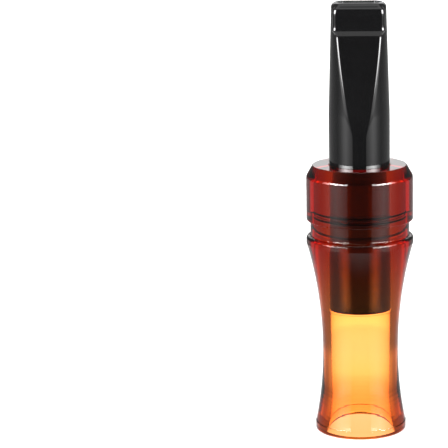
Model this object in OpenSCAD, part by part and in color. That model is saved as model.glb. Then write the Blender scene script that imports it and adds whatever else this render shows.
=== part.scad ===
// Reed game call with a clear hourglass barrel and a moulded mouthpiece tube.
// Millimetres. The call stands on its bell, +Z up along its axis, origin at the
// centre of the bell's end. The flat facets of the bit face -Y and +Y.

/* [Barrel] */
// Height of the barrel
barrel_h = 81.7; // [75:0.1:90]
// Diameter of the top ring
ring_d = 32; // [31:0.1:34]
// Diameter of the shoulder below the lanyard groove
shoulder_d = 32.2; // [31.5:0.1:34]
// Diameter across the flat top face, inside the chamfer
top_face_d = 28.1; // [26:0.1:30]
// Slope of the top chamfer, measured from the axis
top_chamfer_a = 30; // [25:1:40]
// Height of the top ring, from the barrel's top to the lanyard groove
ring_h = 16.6; // [14:0.1:20]
// Width of the lanyard groove along the axis
groove_h = 4.7; // [3:0.1:6]
// Diameter at the floor of the lanyard groove
groove_d = 29.7; // [28:0.1:30.5]
// Diameter of the waist
waist_d = 22.9; // [22.5:0.1:24]
// Height of the waist above the bell's end
waist_z = 25; // [22:0.5:28]
// Radius of the long arc that the hourglass follows
waist_arc_r = 120; // [115:1:130]
// Diameter of the bell's lip
lip_d = 27.5; // [27.2:0.1:29]
// Height of the bell's lip
lip_h = 2.3; // [1.5:0.1:4]

/* [Bore] */
// Diameter of the socket that the tube slides in
socket_d = 18.6; // [18.4:0.1:19]
// Diameter of the bell's bore below the socket
bell_bore_d = 17.8; // [17.6:0.1:18]
// Diameter of the bore's flared mouth at the bell's end
bell_mouth_d = 20; // [18.2:0.1:21]
// Height of the flare above the bell's end
flare_h = 12; // [5:0.5:14]
// Height of the step that stops the tube
step_z = 37.5; // [36:0.1:37.5]

/* [Mouthpiece] */
// Height of the whole call
call_h = 130; // [127:0.1:133]
// Outer diameter of the tube
tube_d = 18.2; // [18:0.1:18.2]
// Bore of the tube
tube_bore_d = 13.8; // [13.8:0.1:14]
// Diameter of the bit near its tip
tip_d = 16.3; // [15.5:0.1:17]
// Height of the tube's lower end
tube_z = 37.7; // [37.7:0.1:38]
// Height where the tube starts to taper
taper_z = 97; // [95:0.5:100]
// Height where the flat facets run out on the tube
facet_z = 93.7; // [92:0.1:96]
// Thickness of the bit where the facets meet the lip
bit_t = 10.8; // [10:0.1:11.8]
// Thickness across the bite lip
lip_t = 12.4; // [11.8:0.1:13]
// Width of the bite lip
lip_w = 15.6; // [13.5:0.1:16]
// Height of the bite lip along the axis
bite_lip_h = 9.7; // [8:0.1:11]
// Width of the mouth slot
slot_w = 10.4; // [8:0.1:11]
// Height of the mouth slot
slot_t = 3.2; // [2:0.1:4]

/* [Seal rings] */
// Thickness of each O-ring on the tube
o_ring_t = 1.5; // [1.4:0.05:1.5]
// Height of the centre of the pair
o_ring_z = 66.35; // [60:0.05:75]

/* [Sound board] */
// Height of the plug's lower face
plug_z = 38.5; // [38.5:0.1:39]
// Length of the plug
plug_l = 15; // [14:0.5:15]
// Length of the tone board beyond the plug
board_l = 19; // [16:0.5:19]
// Width of the tone channel
channel_w = 4; // [3:0.1:4.5]
// Distance that the lay falls away from the reed at its tip
lay_drop = 0.7; // [0.3:0.1:0.9]
// Thickness of the reed
reed_t = 0.35; // [0.25:0.05:0.4]
// Width of the reed
reed_w = 8.4; // [7:0.1:8.4]

/* [Hidden] */
$fn = 96;
eps = 0.01;
big = 60;

ring_r = ring_d / 2;
ring_z = barrel_h - ring_h;
shoulder_r = shoulder_d / 2;
shoulder_z = ring_z - groove_h;
shoulder_round = 1.1;
top_round = 2.2;
top_run = (ring_r - top_face_d / 2) / tan(top_chamfer_a);
top_tangent = top_round * tan(top_chamfer_a / 2);
edge = 0.3;
waist_r = waist_d / 2;

tube_r = tube_d / 2;
tube_bore_r = tube_bore_d / 2;
tip_round = 1.5;
wall = tube_r - tube_bore_r;
tube_round = 1.2;
lip_z = call_h - bite_lip_h;
lip_slope_h = 1.8;
lip_chamfer = 1.7;
lip_corner_r = 1.2;
facet_slope = (tube_r - bit_t / 2) / (lip_z - facet_z);

fit_gap = 0.05;
o_ring_r = socket_d / 2 - fit_gap - o_ring_t / 2;
o_ring_pitch = o_ring_t + 2 * fit_gap;
o_groove_h = 2 * o_ring_t + 4 * fit_gap;

plug_r = tube_bore_r - 0.15;
plug_top = plug_z + plug_l;
board_top = plug_top + board_l;
board_w = 9.2;
board_r = 6.2;
channel_y = 2.2;
channel_end = 4;
pocket_w = 8.6;
pocket_t = 3.6;
pocket_h = 5.8;
small_ring_t = 1.4;
small_ring_r = tube_bore_r - 0.04 - small_ring_t / 2;
small_ring_z = plug_z + 4;
reed_gap = 0.02;
reed_butt_z = plug_top - pocket_h + 0.3;
wedge_proud = 1;

// Points of an arc about [cx, cz], from angle a0 to angle a1
function arc(cx, cz, r, a0, a1, n) =
    [for (i = [0:n]) let (a = a0 + (a1 - a0) * i / n) [cx + r * cos(a), cz + r * sin(a)]];

// Angles on the hourglass arc, at height z and at radius r above the waist
function angle_at_z(z) = 180 - asin((z - waist_z) / waist_arc_r);
function angle_at_r(r) = acos((r - waist_r - waist_arc_r) / waist_arc_r);

// Outline of the barrel's outside, from the bell up
function barrel_outline() = concat(
    [[lip_d / 2 - edge, 0], [lip_d / 2, edge], [lip_d / 2, lip_h - edge]],
    arc(waist_r + waist_arc_r, waist_z, waist_arc_r, angle_at_z(lip_h), angle_at_r(shoulder_r), 28),
    arc(shoulder_r - shoulder_round, shoulder_z - shoulder_round, shoulder_round, 0, 90, 6),
    [[groove_d / 2, shoulder_z], [groove_d / 2, ring_z], [ring_r - edge, ring_z], [ring_r, ring_z + edge]],
    arc(ring_r - top_round, barrel_h - top_run - top_tangent, top_round, 0, top_chamfer_a, 6),
    [[top_face_d / 2, barrel_h]]
);

// Outline of the bore, from the top down
function bore_outline() = [
    [socket_d / 2 + edge, barrel_h], [socket_d / 2, barrel_h - edge], [socket_d / 2, step_z],
    [bell_bore_d / 2, step_z], [bell_bore_d / 2, flare_h],
    [bell_mouth_d / 2, edge], [bell_mouth_d / 2 + edge, 0]
];

// A round bar along Z
module bar(r, z0, z1) {
    translate([0, 0, z0]) cylinder(r = r, h = z1 - z0);
}

// A profile drawn in Y and Z, mirrored about the axis and extruded across X
module across_x(points, width) {
    rotate([90, 0, 90]) translate([0, 0, -width / 2]) linear_extrude(width) {
        polygon(points);
        mirror([1, 0]) polygon(points);
    }
}

// Rectangle with round corners, centred
module round_rect(w, h, r) {
    square([w - 2 * r, h], center = true);
    square([w, h - 2 * r], center = true);
    for (x = [-1, 1], y = [-1, 1]) translate([x * (w / 2 - r), y * (h / 2 - r)]) circle(r);
}

// A torus about the axis
module o_ring(r, t, z) {
    translate([0, 0, z]) rotate_extrude() translate([r, 0]) circle(t / 2, $fn = 32);
}

module barrel() {
    color([0.85, 0.32, 0.08, 0.6]) rotate_extrude() polygon(concat(barrel_outline(), bore_outline()));
}

// Round outside of the mouthpiece, with the groove for the two O-rings
module tube_outside() {
    r = tube_r;
    tip = tip_d / 2;
    o_floor = o_ring_r - o_ring_t / 2 - fit_gap;
    rotate_extrude() polygon(concat(
        [[0, tube_z]],
        arc(r - tube_round, tube_z + tube_round, tube_round, -90, 0, 6),
        [[r, o_ring_z - o_groove_h / 2], [o_floor, o_ring_z - o_groove_h / 2],
         [o_floor, o_ring_z + o_groove_h / 2], [r, o_ring_z + o_groove_h / 2], [r, taper_z]],
        arc(tip - tip_round, call_h - tip_round, tip_round, 0, 90, 6),
        [[0, call_h]]
    ));
}

// Everything between the two flat facets of the bit
module bit_wedge() {
    outer = tube_r + 1;
    across_x([[-eps, 0], [outer, 0], [outer, facet_z - 1 / facet_slope],
              [bit_t / 2, lip_z], [bit_t / 2, call_h - (lip_chamfer - (lip_t - bit_t) / 2)],
              [lip_t / 2 - lip_chamfer, call_h], [-eps, call_h]], big);
}

// Raised lip that the teeth hold
module bite_lip() {
    intersection() {
        across_x([[-eps, lip_z], [bit_t / 2, lip_z], [lip_t / 2, lip_z + lip_slope_h],
                  [lip_t / 2, call_h - lip_chamfer], [lip_t / 2 - lip_chamfer, call_h], [-eps, call_h]], lip_w);
        translate([0, 0, lip_z]) linear_extrude(bite_lip_h) round_rect(lip_w, lip_t, lip_corner_r);
    }
}

// Air way: round bore, wedge-shaped throat and mouth slot
module air_way() {
    throat_t = bit_t / 2 - wall;
    intersection() {
        rotate_extrude() polygon([[0, 0], [tube_bore_r, 0], [tube_bore_r, taper_z],
                                  [tip_d / 2 - wall, lip_z], [0, lip_z]]);
        across_x([[-eps, 0], [tube_bore_r + 1, 0], [tube_bore_r + 1, facet_z - 1 / facet_slope],
                  [throat_t, lip_z], [-eps, lip_z]], big);
    }
    translate([0, 0, lip_z - eps]) linear_extrude(big) square([slot_w, slot_t], center = true);
}

module mouthpiece() {
    color([0.08, 0.08, 0.08]) difference() {
        union() {
            intersection() {
                tube_outside();
                bit_wedge();
            }
            bite_lip();
        }
        air_way();
    }
}

module upper_o_ring() {
    color([0.12, 0.12, 0.12]) o_ring(o_ring_r, o_ring_t, o_ring_z + o_ring_pitch / 2);
}

module lower_o_ring() {
    color([0.12, 0.12, 0.12]) o_ring(o_ring_r, o_ring_t, o_ring_z - o_ring_pitch / 2);
}

// Plug with the half-round tone board above it; the lay faces -Y
module sound_board() {
    groove_r = small_ring_r - small_ring_t / 2;
    color([0.75, 0.72, 0.62]) difference() {
        union() {
            bar(plug_r, plug_z, plug_top);
            intersection() {
                bar(board_r, plug_top - eps, board_top);
                translate([-board_w / 2, 0, plug_z]) cube([board_w, big, big]);
                rotate([90, 0, 90]) translate([0, 0, -big / 2]) linear_extrude(big)
                    polygon([[0, plug_z], [big, plug_z], [big, board_top],
                             [lay_drop, board_top], [0, plug_top]]);
            }
        }
        // tone channel, round at its floor, from the plug's lower face to near the tip
        translate([0, channel_y, 0]) bar(channel_w / 2, 0, board_top - channel_end);
        translate([-channel_w / 2, -eps, plug_top]) cube([channel_w, channel_y, board_l - channel_end]);
        // pocket for the reed's butt and the wedge
        translate([-pocket_w / 2, -pocket_t, plug_top - pocket_h]) cube([pocket_w, pocket_t, big]);
        // groove for the plug's own ring
        difference() {
            bar(plug_r + 1, small_ring_z - small_ring_t / 2 - fit_gap, small_ring_z + small_ring_t / 2 + fit_gap);
            bar(groove_r, plug_z, plug_top);
        }
    }
}

module board_o_ring() {
    color([0.12, 0.12, 0.12]) o_ring(small_ring_r, small_ring_t, small_ring_z);
}

module reed() {
    color([0.9, 0.9, 0.88, 0.7]) translate([-reed_w / 2, -reed_t - reed_gap, reed_butt_z])
        cube([reed_w, reed_t, board_top + 0.5 - reed_butt_z]);
}

// Tapered block pressed into the pocket over the reed's butt
module reed_wedge() {
    back = -reed_t - 2 * reed_gap;
    z0 = reed_butt_z;
    z1 = plug_top + wedge_proud;
    color([0.72, 0.52, 0.33]) rotate([90, 0, 90]) translate([0, 0, -reed_w / 2]) linear_extrude(reed_w)
        polygon([[back, z0], [back, z1], [-pocket_t + reed_gap, z1], [-pocket_t + 0.4, z0]]);
}

barrel();
mouthpiece();
upper_o_ring();
lower_o_ring();
sound_board();
board_o_ring();
reed();
reed_wedge();
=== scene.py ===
"""Looks of a reed game call: amber acrylic barrel, black moulded mouthpiece, O-rings and reed.

Metres, in the row frame: the call stands on its bell, +Z up its axis, the bit's facets face -Y and +Y.
"""
import math

import bpy
import numpy as np
from mathutils import Matrix, Vector


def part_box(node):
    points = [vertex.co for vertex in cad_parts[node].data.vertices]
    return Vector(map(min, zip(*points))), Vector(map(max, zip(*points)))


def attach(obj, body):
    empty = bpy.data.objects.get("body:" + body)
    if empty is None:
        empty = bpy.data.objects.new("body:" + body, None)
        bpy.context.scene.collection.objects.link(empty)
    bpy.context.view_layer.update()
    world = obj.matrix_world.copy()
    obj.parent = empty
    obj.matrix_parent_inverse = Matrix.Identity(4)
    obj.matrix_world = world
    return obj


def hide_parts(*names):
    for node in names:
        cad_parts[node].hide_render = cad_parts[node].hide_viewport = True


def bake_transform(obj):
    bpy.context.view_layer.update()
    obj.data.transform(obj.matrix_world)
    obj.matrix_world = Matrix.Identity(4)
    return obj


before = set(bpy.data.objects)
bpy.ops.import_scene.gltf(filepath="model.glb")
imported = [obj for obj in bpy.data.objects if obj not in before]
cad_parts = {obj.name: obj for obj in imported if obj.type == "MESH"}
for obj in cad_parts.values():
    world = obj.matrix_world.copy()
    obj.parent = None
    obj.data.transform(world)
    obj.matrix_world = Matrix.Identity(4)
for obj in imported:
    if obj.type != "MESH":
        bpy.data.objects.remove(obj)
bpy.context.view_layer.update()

MM = 0.001

# ---------------------------------------------------------------- sizes, in millimetres
barrel_low, barrel_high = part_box("barrel")
tube_low, tube_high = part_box("mouthpiece")
ring_low, ring_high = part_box("lower_o_ring")
reed_low, reed_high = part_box("reed")

# the barrel, from its top ring down to the foot of its bell
BARREL_H = barrel_high.z / MM
SHOULDER_R = barrel_high.x / MM
RING_R = 16.0
RING_Z = BARREL_H - 16.6
GROOVE_R = 14.85
SHOULDER_Z = RING_Z - 4.7
TOP_R = 14.05
CHAMFER_LEAN = math.radians(30)
CHAMFER_RUN = (RING_R - TOP_R) / math.tan(CHAMFER_LEAN)
WAIST_R = 11.45
WAIST_Z = 25.0
WAIST_ARC_R = 120.0
FOOT_R = 13.75
FOOT_H = 2.3
BELL_LOW_Z = FOOT_H + 0.25
# the socket round the tube, 0.15 tighter than the CAD's sliding fit, so no bright gap shows beside the tube
SOCKET_R = 9.15
# the bore below the socket, with the flare at its mouth
STEP_Z = 37.5
BELL_BORE_R = 8.9
BELL_MOUTH_R = 10.0
FLARE_H = 12.0

# the mouthpiece: a tube, and a bit above it with two facets, a bite lip on each and a slot in its tip
CALL_H = tube_high.z / MM
TUBE_Z = tube_low.z / MM
TUBE_R = tube_high.x / MM
TUBE_BORE_R = 6.9
WALL = TUBE_R - TUBE_BORE_R
TUBE_END_ROUND = 1.2
BORE_END_ROUND = 0.3
TIP_R = 8.15
TIP_ROUND = 1.5
TAPER_Z = 97.0
TAPER_ROUND = 60
FACET_Z = 93.7
BIT_BASE_Z = FACET_Z - 4
BIT_T = 5.4
LIP_Z = CALL_H - 9.7
LIP_T = 6.2
LIP_W = 7.8
LIP_CORNER_R = 1.2
LIP_SLOPE_H = 1.8
LIP_ROOT_H = 1.6
LIP_CHAMFER = 1.7
SLOT_W = 5.2
SLOT_T = 1.6
SLOT_CORNER_R = 0.9
SLOT_EASE = 0.3
FACET_SLOPE = (TUBE_R - BIT_T) / (LIP_Z - FACET_Z)
# how softly the facets' edges, the bite lip's foot and the throat's corners are eased
FACET_EASE, LIP_EASE, THROAT_EASE = 0.6, 0.15, 0.3

# the pair of O-rings and the groove they share
O_RING_T = (ring_high.z - ring_low.z) / MM
O_RING_R = ring_high.x / MM - O_RING_T / 2
O_RING_FIT = 0.05
O_GROOVE_R = O_RING_R - O_RING_T / 2 - O_RING_FIT
O_GROOVE_LOW = ring_low.z / MM - O_RING_FIT
O_GROOVE_HIGH = O_GROOVE_LOW + 2 * O_RING_T + 4 * O_RING_FIT
O_GROOVE_ROUND = 0.1


# ---------------------------------------------------------------- outlines
def arc(cx, cz, r, a0, a1, n):
    """Points of an arc, in degrees about (cx, cz)."""
    angles = np.radians(np.linspace(a0, a1, n + 1))
    return [(cx + r * math.cos(a), cz + r * math.sin(a)) for a in angles]


def rounded(corners, steps=6, closed=False):
    """An outline through corners (x, z, radius), with each corner rounded to its radius."""
    points = []
    n = len(corners)
    for i, (x, z, radius) in enumerate(corners):
        here = Vector((x, z))
        if radius <= 0 or (not closed and i in (0, n - 1)):
            points.append((x, z))
            continue
        back = Vector(corners[i - 1][:2]) - here
        ahead = Vector(corners[(i + 1) % n][:2]) - here
        half = back.angle(ahead) / 2
        reach = radius / math.tan(half)
        start, end = here + back.normalized() * reach, here + ahead.normalized() * reach
        centre = here + (back.normalized() + ahead.normalized()).normalized() * radius / math.sin(half)
        s, e = start - centre, end - centre
        turn = s.angle_signed(e)
        for k in range(steps + 1):
            p = centre + Matrix.Rotation(-turn * k / steps, 2) @ s
            points.append((p.x, p.y))
    return points


def supported(points, closed=False, near=0.06, longest=4.0):
    """The outline with extra points along its straight runs, and close to their ends to keep them flat."""
    out = []
    n = len(points)
    for i in range(n if closed else n - 1):
        a, b = Vector(points[i]), Vector(points[(i + 1) % n])
        run = (b - a).length
        out.append(tuple(a))
        if run > 4 * near:
            cuts = [near / run]
            inner = max(1, int(run / longest))
            cuts += [k / inner for k in range(1, inner)]
            cuts.append(1 - near / run)
            out += [tuple(a.lerp(b, t)) for t in cuts]
    if not closed:
        out.append(points[-1])
    return out


# ---------------------------------------------------------------- meshes
def new_object(name, verts, faces, material, smooth=True):
    """An object of one material, from points in millimetres."""
    mesh = bpy.data.meshes.new(name)
    mesh.from_pydata([(x * MM, y * MM, z * MM) for x, y, z in verts], [], faces)
    mesh.polygons.foreach_set("use_smooth", [smooth] * len(mesh.polygons))
    mesh.materials.append(material)
    piece = bpy.data.objects.new(name, mesh)
    bpy.context.scene.collection.objects.link(piece)
    return piece


def new_piece(name, verts, faces, body, material):
    """An object that rides one body."""
    piece = new_object(name, verts, faces, material)
    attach(piece, body)
    return piece


def ring_faces(rings, around):
    """Quads between each ring of points and the next, and from the last back to the first."""
    faces = []
    for i in range(rings):
        a, b = i * around, ((i + 1) % rings) * around
        for j in range(around):
            k = (j + 1) % around
            faces.append((a + j, a + k, b + k, b + j))
    return faces


def lathe(name, outline, around, body, material):
    """A closed solid of revolution from a closed outline of (radius, height) points."""
    angles = np.linspace(0, 2 * math.pi, around, endpoint=False)
    verts = [(r * math.cos(a), r * math.sin(a), z) for r, z in outline for a in angles]
    return new_piece(name, verts, ring_faces(len(outline), around), body, material)


# ---------------------------------------------------------------- node helpers
def new_material(name):
    material = bpy.data.materials.new(name)
    material.use_nodes = True
    tree = material.node_tree
    shader = tree.nodes["Principled BSDF"]
    return material, tree, shader


def noise(tree, scale, detail=4.0, roughness=0.5, stretch=(1, 1, 1)):
    """Noise over the piece's own coordinates, with about scale cells to a metre."""
    coords = tree.nodes.new("ShaderNodeTexCoord")
    mapping = tree.nodes.new("ShaderNodeMapping")
    mapping.inputs["Scale"].default_value = stretch
    texture = tree.nodes.new("ShaderNodeTexNoise")
    texture.inputs["Scale"].default_value = scale
    texture.inputs["Detail"].default_value = detail
    texture.inputs["Roughness"].default_value = roughness
    tree.links.new(coords.outputs["Object"], mapping.inputs["Vector"])
    tree.links.new(mapping.outputs["Vector"], texture.inputs["Vector"])
    return texture.outputs["Fac"]


def spread(tree, value, low, high, from_low=0.3, from_high=0.7):
    """value, taken from one range to another and held inside it."""
    ranged = tree.nodes.new("ShaderNodeMapRange")
    ranged.inputs["From Min"].default_value = from_low
    ranged.inputs["From Max"].default_value = from_high
    ranged.inputs["To Min"].default_value = low
    ranged.inputs["To Max"].default_value = high
    tree.links.new(value, ranged.inputs["Value"])
    return ranged.outputs["Result"]


def mix_colours(tree, factor, a, b):
    """Colour a where factor is 0 and b where it is 1."""
    mix = tree.nodes.new("ShaderNodeMix")
    mix.data_type = "RGBA"
    mix.inputs["A"].default_value = (*a, 1)
    mix.inputs["B"].default_value = (*b, 1)
    tree.links.new(factor, mix.inputs["Factor"])
    return mix.outputs["Result"]


def bump(tree, shader, height, strength, distance):
    """Relief on the shader's surface, distance metres high where height is 1."""
    node = tree.nodes.new("ShaderNodeBump")
    node.inputs["Strength"].default_value = strength
    node.inputs["Distance"].default_value = distance
    tree.links.new(height, node.inputs["Height"])
    tree.links.new(node.outputs["Normal"], shader.inputs["Normal"])


# ---------------------------------------------------------------- materials
# what the amber takes off red, green and blue light, per metre of its depth
AMBER_ABSORBS = (15, 215, 480)
AMBER_DENSITY = 560
# height of the bore's satin grain, in metres, and the share of it left on the polished outside
BORE_SATIN = 0.000003
POLISH_SHARE = 0.02
# distance from the axis, in millimetres, over which the satin gives way to the polish
SATIN_WITHIN, POLISH_BEYOND = 10.2, 10.8


def amber_acrylic():
    """Clear amber acrylic: polished outside, with the satin of a reamed bore inside."""
    material, tree, shader = new_material("amber_acrylic")
    shader.inputs["Base Color"].default_value = (1, 1, 1, 1)
    shader.inputs["Transmission Weight"].default_value = 1.0
    shader.inputs["IOR"].default_value = 1.49
    shader.inputs["Roughness"].default_value = 0.0
    coords = tree.nodes.new("ShaderNodeTexCoord")
    flat = tree.nodes.new("ShaderNodeVectorMath")
    flat.operation = "MULTIPLY"
    flat.inputs[1].default_value = (1, 1, 0)
    tree.links.new(coords.outputs["Object"], flat.inputs[0])
    radius = tree.nodes.new("ShaderNodeVectorMath")
    radius.operation = "LENGTH"
    tree.links.new(flat.outputs["Vector"], radius.inputs[0])
    in_bore = spread(tree, radius.outputs["Value"], 1.0, 0.0, SATIN_WITHIN * MM, POLISH_BEYOND * MM)
    satin = tree.nodes.new("ShaderNodeMath")
    satin.operation = "MULTIPLY"
    tree.links.new(noise(tree, 9000, detail=2), satin.inputs[0])
    tree.links.new(in_bore, satin.inputs[1])
    polish = tree.nodes.new("ShaderNodeMath")
    polish.operation = "MULTIPLY_ADD"
    polish.inputs[1].default_value = POLISH_SHARE
    tree.links.new(noise(tree, 700, detail=3), polish.inputs[0])
    tree.links.new(satin.outputs[0], polish.inputs[2])
    bump(tree, shader, polish.outputs[0], 1.0, BORE_SATIN)
    absorb = tree.nodes.new("ShaderNodeVolumeAbsorption")
    absorb.inputs["Color"].default_value = (*[1 - a / AMBER_DENSITY for a in AMBER_ABSORBS], 1)
    absorb.inputs["Density"].default_value = AMBER_DENSITY
    tree.links.new(absorb.outputs["Volume"], tree.nodes["Material Output"].inputs["Volume"])
    return material


def black_plastic():
    """Gloss black ABS, with the faint unevenness of a moulded surface."""
    material, tree, shader = new_material("black_plastic")
    shader.inputs["IOR"].default_value = 1.56
    cloud = noise(tree, 180, detail=5)
    tree.links.new(mix_colours(tree, cloud, (0.0014, 0.0014, 0.0015), (0.0028, 0.0028, 0.0030)),
                   shader.inputs["Base Color"])
    tree.links.new(spread(tree, noise(tree, 900, detail=6), 0.045, 0.075), shader.inputs["Roughness"])
    bump(tree, shader, noise(tree, 1400, detail=3), 0.03, 0.00001)
    return material


def ring_rubber():
    """Matt black nitrile rubber, finely grained."""
    material, tree, shader = new_material("ring_rubber")
    shader.inputs["Specular IOR Level"].default_value = 0.12
    cloud = noise(tree, 1500, detail=6)
    tree.links.new(mix_colours(tree, cloud, (0.003, 0.003, 0.003), (0.009, 0.009, 0.009)),
                   shader.inputs["Base Color"])
    tree.links.new(spread(tree, cloud, 0.5, 0.7), shader.inputs["Roughness"])
    bump(tree, shader, noise(tree, 4000, detail=4), 0.25, 0.00003)
    return material


def board_plastic():
    """Satin black plastic, with a fine moulded grain."""
    material, tree, shader = new_material("board_plastic")
    shader.inputs["IOR"].default_value = 1.53
    cloud = noise(tree, 260, detail=5)
    tree.links.new(mix_colours(tree, cloud, (0.010, 0.010, 0.010), (0.017, 0.017, 0.018)),
                   shader.inputs["Base Color"])
    tree.links.new(spread(tree, noise(tree, 1300, detail=6), 0.26, 0.40), shader.inputs["Roughness"])
    bump(tree, shader, noise(tree, 5200, detail=3), 0.20, 0.00002)
    return material


def reed_film():
    """Frosted polyester film, with the fine scratches of its cutting along it."""
    material, tree, shader = new_material("reed_film")
    shader.inputs["IOR"].default_value = 1.57
    shader.inputs["Transmission Weight"].default_value = 0.45
    cloud = noise(tree, 420, detail=5)
    tree.links.new(mix_colours(tree, cloud, (0.72, 0.75, 0.72), (0.86, 0.88, 0.85)),
                   shader.inputs["Base Color"])
    scratches = noise(tree, 1500, detail=4, stretch=(3.0, 3.0, 0.12))
    tree.links.new(spread(tree, scratches, 0.30, 0.48), shader.inputs["Roughness"])
    bump(tree, shader, scratches, 0.25, 0.00002)
    return material


def wedge_cork():
    """Agglomerated cork: pale granules in several browns, with dark pores between them."""
    material, tree, shader = new_material("wedge_cork")
    shader.inputs["Specular IOR Level"].default_value = 0.25
    coords = tree.nodes.new("ShaderNodeTexCoord")
    cells = tree.nodes.new("ShaderNodeTexVoronoi")
    cells.inputs["Scale"].default_value = 1500
    tree.links.new(coords.outputs["Object"], cells.inputs["Vector"])
    granule = tree.nodes.new("ShaderNodeSeparateColor")
    tree.links.new(cells.outputs["Color"], granule.inputs[0])
    browns = mix_colours(tree, granule.outputs["Red"], (0.36, 0.19, 0.085), (0.60, 0.37, 0.19))
    pores = spread(tree, noise(tree, 2600, detail=6), 0.0, 1.0, 0.56, 0.66)
    mix = tree.nodes.new("ShaderNodeMix")
    mix.data_type = "RGBA"
    mix.inputs["B"].default_value = (0.09, 0.04, 0.018, 1)
    tree.links.new(pores, mix.inputs["Factor"])
    tree.links.new(browns, mix.inputs["A"])
    tree.links.new(mix.outputs["Result"], shader.inputs["Base Color"])
    tree.links.new(spread(tree, granule.outputs["Green"], 0.72, 0.92, 0, 1), shader.inputs["Roughness"])
    bump(tree, shader, noise(tree, 2600, detail=6), 0.55, 0.00008)
    return material


AMBER = amber_acrylic()
BLACK = black_plastic()
RUBBER = ring_rubber()
BOARD = board_plastic()
FILM = reed_film()
CORK = wedge_cork()


# ---------------------------------------------------------------- barrel
def barrel_outline():
    """The barrel's section, as (radius, height) points: up the outside, then down the socket and the bore."""
    arc_x = WAIST_R + WAIST_ARC_R
    low = 180 - math.degrees(math.asin((BELL_LOW_Z - WAIST_Z) / WAIST_ARC_R))
    high = math.degrees(math.acos((SHOULDER_R - arc_x) / WAIST_ARC_R))
    waist = arc(arc_x, WAIST_Z, WAIST_ARC_R, low, high, 56)
    spread_r = BELL_MOUTH_R - BELL_BORE_R
    mouth_arc_r = (FLARE_H ** 2 + spread_r ** 2) / (2 * spread_r)
    turn = math.degrees(math.asin(FLARE_H / mouth_arc_r))
    flare = arc(BELL_BORE_R + mouth_arc_r, FLARE_H, mouth_arc_r, 180, 180 + turn, 8)[:-1]
    # each corner's third number is the radius it is rounded to
    corners = [(FOOT_R, 0, 0.35), (FOOT_R, FOOT_H, 0.12)]
    corners += [(x, z, 0) for x, z in waist]
    corners += [
        (SHOULDER_R, SHOULDER_Z, 1.1), (GROOVE_R, SHOULDER_Z, 0.4),
        (GROOVE_R, RING_Z, 0.12), (RING_R, RING_Z, 0.3),
        (RING_R, BARREL_H - CHAMFER_RUN, 2.2), (TOP_R, BARREL_H, 0.3),
        (SOCKET_R, BARREL_H, 0.3), (SOCKET_R, STEP_Z, 0.08), (BELL_BORE_R, STEP_Z, 0.08),
    ]
    corners += [(x, z, 0) for x, z in flare]
    corners += [(BELL_MOUTH_R, 0, 0.25)]
    return supported(rounded(corners, closed=True), closed=True)


barrel = lathe("barrel_acrylic", barrel_outline(), 256, "barrel", AMBER)
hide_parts("barrel")


# ---------------------------------------------------------------- mouthpiece
# A quarter of a section has this many points on its round side, about the facet's edge, and on the facet.
SIDE_STEPS, EDGE_STEPS, FLAT_STEPS = 28, 12, 14
# how far the points about an edge reach on each side of it, and the widest place of that edge, in degrees
EDGE_SPREAD = 5.0
WIDEST_EDGE = 82.0


def section_angles(edge):
    """Angles of a section's points, all round, close together on each side of the facets' edges."""
    first = np.linspace(0, edge - EDGE_SPREAD, SIDE_STEPS, endpoint=False)
    second = np.linspace(edge - EDGE_SPREAD, edge + EDGE_SPREAD, EDGE_STEPS, endpoint=False)
    third = np.linspace(edge + EDGE_SPREAD, 90, FLAT_STEPS, endpoint=False)
    quarter = np.concatenate([first, second, third])
    half = np.concatenate([quarter, [90], 180 - quarter[:0:-1]])
    return np.radians(np.concatenate([half, 180 + half]))


def soft_min(a, b, k):
    """The smaller of a and b, eased where they are within k of each other."""
    h = np.clip(0.5 + 0.5 * (b - a) / k, 0, 1)
    return b * (1 - h) + a * h - k * h * (1 - h)


def soft_max(a, b, k):
    """The larger of a and b, eased in the same way."""
    return -soft_min(-a, -b, k)


def facet_angles(r, t):
    """Angles of the points of a circle r that is cut by two flats at +-t."""
    edge = math.degrees(math.asin(min(t / r, 1)))
    return section_angles(min(edge, WIDEST_EDGE))


def between_facets(angles, r, t, k):
    """Radius, at each angle, of a circle r cut by two flats at +-t, with the edges eased over k."""
    return soft_min(np.full_like(angles, r), t / np.maximum(np.abs(np.sin(angles)), 1e-6), k)


def round_rect(angles, a, b, corner):
    """Radius, at each angle, of a rectangle +-a by +-b with round corners."""
    c, s = np.abs(np.cos(angles)), np.abs(np.sin(angles))
    r = np.minimum(a / np.maximum(c, 1e-9), b / np.maximum(s, 1e-9))
    cx, cy = a - corner, b - corner
    along = cx * c + cy * s
    inside = np.maximum(along ** 2 - (cx ** 2 + cy ** 2 - corner ** 2), 0)
    at_corner = along + np.sqrt(inside)
    in_corner = (at_corner * c > cx) & (at_corner * s > cy)
    return np.where(in_corner, at_corner, r)


def at_height(outline, z):
    """Half-width of an outline of (half-width, height) points at height z."""
    xs, zs = zip(*outline)
    return float(np.interp(z, zs, xs))


def circle_rings(outline):
    """Round rings through an outline of (radius, height) points."""
    angles = section_angles(WIDEST_EDGE)
    return [(np.full_like(angles, r), angles, z) for r, z in outline]


def tube_rings():
    """The round tube outside, from its lower end up past the groove of the O-rings."""
    tube = rounded([(TUBE_BORE_R + 0.6, TUBE_Z, 0), (TUBE_R, TUBE_Z, TUBE_END_ROUND),
                    (TUBE_R, O_GROOVE_LOW, O_GROOVE_ROUND), (O_GROOVE_R, O_GROOVE_LOW, O_GROOVE_ROUND),
                    (O_GROOVE_R, O_GROOVE_HIGH, O_GROOVE_ROUND), (TUBE_R, O_GROOVE_HIGH, O_GROOVE_ROUND),
                    (TUBE_R, BIT_BASE_Z, 0)], steps=4)
    return circle_rings(supported(tube))


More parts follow.
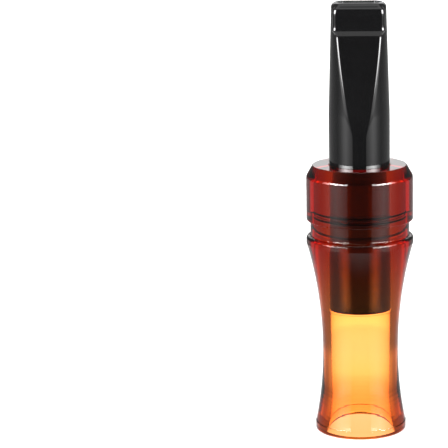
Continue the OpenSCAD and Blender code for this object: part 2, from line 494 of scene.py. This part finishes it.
def lip_outline(root, half, hollow, edge_in, edge_round, tip):
    """Half-width of the bite lip up its height: root, slope, slight hollow, chamfer and tip.

    half is at the slope's top, and hollow and edge_in are how far the places above it stand in from that.
    """
    slope_top, chamfer_low = LIP_Z + LIP_SLOPE_H, CALL_H - LIP_CHAMFER
    return rounded([(root, LIP_Z - LIP_ROOT_H, 0), (half, slope_top, 0.4),
                    (half - hollow, slope_top + 0.9, 0.8), (half - hollow, chamfer_low - 1.3, 0.8),
                    (half - edge_in, chamfer_low, edge_round), (tip, CALL_H, 0.35), (0, CALL_H, 0)])


def bit_rings():
    """The bit outside: its taper, its two facets and the bite lip, up to the tip's edge."""
    taper = [(TUBE_R, BIT_BASE_Z, 0), (TUBE_R, TAPER_Z, TAPER_ROUND), (TIP_R, CALL_H - TIP_ROUND, 0)]
    body_r = rounded(taper, steps=10) + arc(TIP_R - TIP_ROUND, CALL_H - TIP_ROUND, TIP_ROUND, 0, 90, 8)
    body_t = rounded([(TUBE_R + FACET_SLOPE * (FACET_Z - BIT_BASE_Z), BIT_BASE_Z, 0), (BIT_T, LIP_Z, 2.5),
                      (BIT_T, CALL_H - LIP_CHAMFER + LIP_T - BIT_T, 0), (LIP_T - LIP_CHAMFER, CALL_H, 0)])
    pad_t = lip_outline(BIT_T - 0.8, LIP_T, 0.1, 0.22, 0.4, LIP_T - LIP_CHAMFER)
    pad_w = lip_outline(LIP_W - 2.4, LIP_W, 0.13, 0.3, 0.8, LIP_W - 1.8)
    # rings stand close together up the lip's slope and over the tip's edge
    slope_low, slope_high, edge_h = LIP_Z - 1.2, LIP_Z + 2.4, LIP_CHAMFER + 0.5
    heights = np.concatenate([
        np.linspace(BIT_BASE_Z, slope_low, 46)[1:],
        np.linspace(slope_low, slope_high, 26)[1:],
        np.linspace(slope_high, CALL_H - edge_h, 8)[1:],
        CALL_H - edge_h * (1 - np.sin(np.linspace(0, math.pi / 2, 22)))[1:],
    ])
    rings = []
    for z in heights:
        r, t = at_height(body_r, z), at_height(body_t, z)
        angles = facet_angles(r, t)
        radius = between_facets(angles, r, t, FACET_EASE)
        if z > LIP_Z - LIP_ROOT_H:
            pad = round_rect(angles, at_height(pad_w, z), at_height(pad_t, z), LIP_CORNER_R)
            radius = soft_max(radius, pad, LIP_EASE)
        rings.append((radius, angles, z))
    return rings


def throat_rings(outer, angles):
    """The tip's face from its edge inwards, the mouth slot, the throat, and the bore down to its end."""
    rings = []
    slot = round_rect(angles, SLOT_W, SLOT_T, SLOT_CORNER_R)
    for share in (0.35, 0.7, 0.95):
        rings.append((outer + (slot + SLOT_EASE - outer) * share, angles, CALL_H))
    for a in np.radians(np.linspace(0, 90, 5)):
        radius = slot + SLOT_EASE * (1 - math.sin(a))
        rings.append((radius, angles, CALL_H - SLOT_EASE * (1 - math.cos(a))))
    for z in (CALL_H - 3, CALL_H - 6, LIP_Z + 1.2):
        rings.append((slot, angles, z))
    for z in np.linspace(LIP_Z, BIT_BASE_Z, 16):
        share = (z - BIT_BASE_Z) / (LIP_Z - BIT_BASE_Z)
        r = TUBE_BORE_R - 0.6 * share
        t = min(TUBE_BORE_R + 0.4, BIT_T - WALL + FACET_SLOPE * (LIP_Z - z))
        angles = facet_angles(r, t)
        rings.append((between_facets(angles, r, t, THROAT_EASE), angles, z))
    bore = rounded([(TUBE_BORE_R, BIT_BASE_Z, 0), (TUBE_BORE_R, TUBE_Z, BORE_END_ROUND), (TUBE_R, TUBE_Z, 0)])
    return rings + circle_rings(bore[1:-1])


def mouthpiece():
    """The moulded tube and bit, one closed skin through rings of (radii, angles, height)."""
    rings = tube_rings() + bit_rings()
    outer, angles, _ = rings[-1]
    rings += throat_rings(outer, angles)
    verts = [(r * math.cos(a), r * math.sin(a), z)
             for radius, angles, z in rings for r, a in zip(radius, angles)]
    faces = ring_faces(len(rings), len(rings[0][1]))
    return new_piece("mouthpiece_shell", verts, faces, "mouthpiece", BLACK)


shell = mouthpiece()
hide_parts("mouthpiece")


# ---------------------------------------------------------------- O-rings
# height of the thin ridge that the mould's halves leave round a ring, and its breadth in radians
FLASH = 0.035
FLASH_BREADTH = 0.1


def rubber_ring(node, body):
    """An O-ring with its moulding ridge round the inside and the outside."""
    low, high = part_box(node)
    half = (high.z - low.z) / MM / 2
    centre_r, centre_z = high.x / MM - half, (low.z + high.z) / MM / 2
    outline = []
    for a in np.linspace(0, 2 * math.pi, 56, endpoint=False):
        reach = half - FLASH * (1 - math.exp(-(math.sin(a) / FLASH_BREADTH) ** 2))
        outline.append((centre_r + reach * math.cos(a), centre_z + reach * math.sin(a)))
    ring = lathe(node + "_rubber", outline, 180, body, RUBBER)
    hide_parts(node)


rubber_ring("upper_o_ring", "seal_rings")
rubber_ring("lower_o_ring", "seal_rings")
rubber_ring("board_o_ring", "sound_board")


# ---------------------------------------------------------------- sound board, wedge and reed
# how far apart two points may be and still be joined, in metres
WELD_WITHIN = 0.000001
# edges sharper than this are eased, and those left sharper than this stay crisp, in degrees
EASE_ABOVE, CRISP_ABOVE = 35, 28


def finish_node(name, material, bevel):
    """The CAD node with its edges eased and a material of its own."""
    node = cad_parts[name]
    for place in node.material_slots:
        place.material = material
    weld = node.modifiers.new("weld", "WELD")
    weld.merge_threshold = WELD_WITHIN
    ease = node.modifiers.new("ease", "BEVEL")
    ease.width = bevel * MM
    ease.segments = 3
    ease.limit_method = "ANGLE"
    ease.angle_limit = math.radians(EASE_ABOVE)
    split = node.modifiers.new("split", "EDGE_SPLIT")
    split.split_angle = math.radians(CRISP_ABOVE)


finish_node("sound_board", BOARD, 0.12)
finish_node("reed_wedge", CORK, 0.15)

# the reed's round tip corners, its dimple and its softened edges
TIP_CORNER = 1.6
DIMPLE_Z, DIMPLE_R, DIMPLE_DEPTH = reed_high.z / MM - 7.0, 0.7, 0.12
FILM_EASE = 0.05


def reed():
    """The film reed: square butt, round tip corners, and the dimple that keeps it off the lay."""
    half_w = reed_high.x / MM
    front, back = reed_low.y / MM, reed_high.y / MM
    butt, tip = reed_low.z / MM, reed_high.z / MM
    across = np.linspace(-1, 1, 25)
    heights = np.concatenate([np.linspace(butt, tip - TIP_CORNER, 70),
                              tip - TIP_CORNER * (1 - np.sin(np.linspace(0, math.pi / 2, 10)[1:]))])
    verts = []
    for z in heights:
        past = max(0.0, z - (tip - TIP_CORNER))
        w = half_w - TIP_CORNER + math.sqrt(max(TIP_CORNER ** 2 - past ** 2, 0))
        for side, y in ((1, front), (-1, back)):
            for u in across * side:
                x = u * w
                push = DIMPLE_DEPTH * math.exp(-(x ** 2 + (z - DIMPLE_Z) ** 2) / DIMPLE_R ** 2)
                verts.append((x, y - push, z))
    ring = 2 * len(across)
    last = (len(heights) - 1) * ring
    faces = ring_faces(len(heights), ring)[:last]
    faces += [tuple(range(ring))[::-1], tuple(range(last, last + ring))]
    film = new_object("reed_film", verts, faces, FILM, smooth=False)
    ease = film.modifiers.new("ease", "BEVEL")
    ease.width = FILM_EASE * MM
    ease.segments = 2
    ease.limit_method = "ANGLE"
    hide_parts("reed")
    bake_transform(film)


reed()


# ---------------------------------------------------------------- camera, light and floor
CAMERA_ELEVATION = math.radians(12.15)
CAMERA_DISTANCE = 0.5648
CAMERA_AIM_Z = 0.0634
CAMERA_LENS = 151.1
CAMERA_SENSOR = 36
CAMERA_ROLL = math.radians(-0.32)
CAMERA_SHIFT = -0.30315


def add_camera():
    """A long lens a little above the call, aimed at its middle, which stands right of the frame's centre."""
    data = bpy.data.cameras.new("camera")
    data.lens = CAMERA_LENS
    data.sensor_width = CAMERA_SENSOR
    data.shift_x = CAMERA_SHIFT
    data.clip_end = 50
    camera = bpy.data.objects.new("camera", data)
    back = Vector((0, -math.cos(CAMERA_ELEVATION), math.sin(CAMERA_ELEVATION)))
    camera.location = Vector((0, 0, CAMERA_AIM_Z)) + back * CAMERA_DISTANCE
    camera.rotation_mode = "QUATERNION"
    roll = Matrix.Rotation(CAMERA_ROLL, 3, "Z").to_quaternion()
    camera.rotation_quaternion = (-back).to_track_quat("-Z", "Y") @ roll
    bpy.context.scene.collection.objects.link(camera)
    bpy.context.scene.camera = camera


# the table's half-width, and how far its top lies under the call's foot, in metres
FLOOR_HALF, FLOOR_DROP = 6.0, 0.00005


def add_floor():
    """A plain white table with a glow of its own, so the call stands on even white."""
    material, _, shader = new_material("floor_white")
    shader.inputs["Base Color"].default_value = (0.8, 0.8, 0.8, 1)
    shader.inputs["Roughness"].default_value = 0.7
    shader.inputs["Emission Color"].default_value = (1, 1, 1, 1)
    shader.inputs["Emission Strength"].default_value = 0.4
    mesh = bpy.data.meshes.new("floor")
    low, high = -FLOOR_HALF, FLOOR_HALF
    mesh.from_pydata([(low, low, 0), (high, low, 0), (high, high, 0), (low, high, 0)], [], [(0, 1, 2, 3)])
    mesh.materials.append(material)
    floor = bpy.data.objects.new("floor", mesh)
    floor.location.z = -FLOOR_DROP
    floor.visible_glossy = False
    floor.visible_transmission = False
    bpy.context.scene.collection.objects.link(floor)


# The studio's brightness by angle round the call, in degrees from straight behind it to straight in front:
# low down, level, and above.
LOW = [(0, 0.5), (20, 0.42), (105, 0.28), (150, 0.07), (180, 0.06)]
LEVEL = [(0, 0.12), (60, 0.15), (105, 0.28), (150, 0.08), (180, 0.07)]
ABOVE = [(0, 1.5), (14, 1.4), (24, 0.15), (105, 0.20), (150, 0.07), (180, 0.05)]
# where the two tall strips stand, as a share of their brightness by the same angle
STRIP = [(0, 0), (92, 0), (106, 0.25), (118, 0.75), (128, 1.0), (138, 0.75), (150, 0.42), (152.5, 0.38),
         (154.5, 0), (180, 0)]
# the strips' brightness by the sine of the height they are seen at: glow on the table, the lamps, then dark
STRIP_HEIGHT = [(-0.5, 0.15), (-0.36, 0.5), (-0.25, 0.9), (-0.18, 1.3), (-0.135, 1.9), (-0.115, 1.0),
                (-0.08, 1.0), (-0.05, 2.4), (0, 2.6), (0.022, 4), (0.036, 14), (0.05, 32), (0.068, 36),
                (0.38, 36), (0.46, 0)]
# the glow of the table straight behind the call, by the same angle
TABLE_GLOW = [(0, 0.55), (25, 0.4), (50, 0), (180, 0)]
OVERHEAD, UNDERFOOT = 1.2, 0.9
# the pale wall behind the table, which only the camera's own rays show
BACKDROP = 1.0
# What a ray finds that was mirrored inside the amber or behind it, by the same angle:
# low down, at the ring's height, level, and straight down.
INSIDE_LOW = [(0, 1.6), (8, 1.2), (16, 0.6), (35, 0.55), (46, 0.8), (60, 0.9), (80, 0.6), (118, 0.8),
              (154, 0.15), (180, 0.12)]
INSIDE_RING = [(0, 0.30), (70, 0.36), (98, 0.50), (108, 0.9), (148, 0.8), (155, 0.35), (180, 0.35)]
INSIDE_LEVEL = [(0, 0.8), (8, 0.7), (16, 0.45), (30, 0.36), (70, 0.36), (100, 0.55), (108, 0.9), (118, 2.2),
                (128, 3.5), (138, 2.6), (148, 1.0), (154, 0.45), (180, 0.45)]
INSIDE_DOWN = 0.3
# The white card seen in clear parts: through the bore by the sine of the height, and beside it by the angle.
CARD = [(-0.5, 1.6), (-0.43, 1.9), (-0.40, 2.2), (-0.36, 2.75), (-0.32, 2.6), (-0.27, 2.45), (-0.205, 2.55),
        (-0.188, 3.2), (-0.10, 3.5)]
CARD_ONE_WALL = [(0, 1.58), (22, 1.58), (32, 0.3), (46, 0.3), (49, 0.8), (56, 0.8), (61, 0.12), (180, 0.12)]
# the angles and the sines of the height that the lists above run between
ANGLES, SINES = (0, 180), (-0.5, 0.5)
# where each level gives way to the next, by the sine of the height
LOW_TO_LEVEL, LEVEL_TO_ABOVE = (-0.12, -0.05), (0.11, 0.17)
TO_TABLE_GLOW, TO_OVERHEAD, TO_UNDERFOOT = (-0.22, -0.28), (0.75, 0.92), (-0.60, -0.78)
INSIDE_LOW_TO_RING, INSIDE_RING_TO_LEVEL, TO_INSIDE_DOWN = (-0.30, -0.25), (-0.15, -0.11), (-0.38, -0.50)
# a ray that went through the bore has met more surfaces than this, and one that passed beside it fewer
BORE_SURFACES = 2.5


def add_world():
    """A dark surround, two tall strips in front at the sides, and a white card seen through clear parts.

    Everything is the same on the left and on the right, and depends on a ray's direction and its path so far.
    """
    world = bpy.data.worlds.new("studio")
    world.use_nodes = True
    bpy.context.scene.world = world
    tree = world.node_tree

    def math_node(kind, a, b=None):
        """An operation on one or two values, each a number or a socket."""
        node = tree.nodes.new("ShaderNodeMath")
        node.operation = kind
        for slot, value in enumerate((a, b)):
            if isinstance(value, (int, float)):
                node.inputs[slot].default_value = value
            elif value is not None:
                tree.links.new(value, node.inputs[slot])
        return node.outputs[0]

    def ranged(value, low, high):
        """0 where value is at low, 1 where it is at high, and a smooth step between."""
        node = tree.nodes.new("ShaderNodeMapRange")
        node.interpolation_type = "SMOOTHSTEP"
        node.inputs["From Min"].default_value = low
        node.inputs["From Max"].default_value = high
        tree.links.new(value, node.inputs["Value"])
        return node.outputs["Result"]

    def mixed(factor, a, b):
        """a where factor is 0 and b where it is 1."""
        return math_node("ADD", a, math_node("MULTIPLY", factor, math_node("SUBTRACT", b, a)))

    def ramp(value, stops, low, high):
        """The level at value along stops of (place, level), with places from low to high."""
        peak = max(level for _, level in stops)
        node = tree.nodes.new("ShaderNodeValToRGB")
        elements = node.color_ramp.elements
        for i, (place, level) in enumerate(stops):
            share = (place - low) / (high - low)
            element = elements[i] if i < 2 else elements.new(share)
            element.position = share
            element.color = (level / peak,) * 3 + (1,)
        tree.links.new(math_node("DIVIDE", math_node("SUBTRACT", value, low), high - low), node.inputs["Fac"])
        return math_node("MULTIPLY", node.outputs["Color"], peak)

    coords = tree.nodes.new("ShaderNodeTexCoord")
    parts = tree.nodes.new("ShaderNodeSeparateXYZ")
    tree.links.new(coords.outputs["Generated"], parts.inputs[0])
    x, y, z = parts.outputs
    around = math_node("MULTIPLY", math_node("ARCTAN2", math_node("ABSOLUTE", x), y), 180 / math.pi)
    low, mid, high = (ramp(around, stops, *ANGLES) for stops in (LOW, LEVEL, ABOVE))
    surround = mixed(ranged(z, *LEVEL_TO_ABOVE), mixed(ranged(z, *LOW_TO_LEVEL), low, mid), high)
    glow = math_node("MULTIPLY", ramp(around, TABLE_GLOW, *ANGLES), ranged(z, *TO_TABLE_GLOW))
    surround = math_node("ADD", surround, glow)
    strips = math_node("MULTIPLY", ramp(around, STRIP, *ANGLES), ramp(z, STRIP_HEIGHT, *SINES))
    overhead, underfoot = ranged(z, *TO_OVERHEAD), ranged(z, *TO_UNDERFOOT)
    outside = mixed(underfoot, mixed(overhead, math_node("ADD", surround, strips), OVERHEAD), UNDERFOOT)
    low, mid, high = (ramp(around, stops, *ANGLES) for stops in (INSIDE_LOW, INSIDE_RING, INSIDE_LEVEL))
    inside = mixed(ranged(z, *INSIDE_RING_TO_LEVEL), mixed(ranged(z, *INSIDE_LOW_TO_RING), low, mid), high)
    inside = mixed(ranged(z, *TO_INSIDE_DOWN), mixed(overhead, inside, OVERHEAD), INSIDE_DOWN)
    path = tree.nodes.new("ShaderNodeLightPath")
    in_amber = math_node("GREATER_THAN", path.outputs["Transmission Depth"], 0.5)
    through_bore = math_node("GREATER_THAN", path.outputs["Transmission Depth"], BORE_SURFACES)
    no_mirror = math_node("LESS_THAN", path.outputs["Glossy Depth"], 0.5)
    straight = math_node("MULTIPLY", path.outputs["Is Transmission Ray"], no_mirror)
    card = mixed(through_bore, ramp(around, CARD_ONE_WALL, *ANGLES), ramp(z, CARD, *SINES))
    level = mixed(straight, mixed(in_amber, outside, inside), card)
    level = mixed(path.outputs["Is Camera Ray"], level, BACKDROP)
    tree.links.new(level, tree.nodes["Background"].inputs["Strength"])
    tree.nodes["Background"].inputs["Color"].default_value = (1, 1, 1, 1)


add_camera()
add_floor()
add_world()
bpy.context.scene.view_settings.view_transform = "Standard"
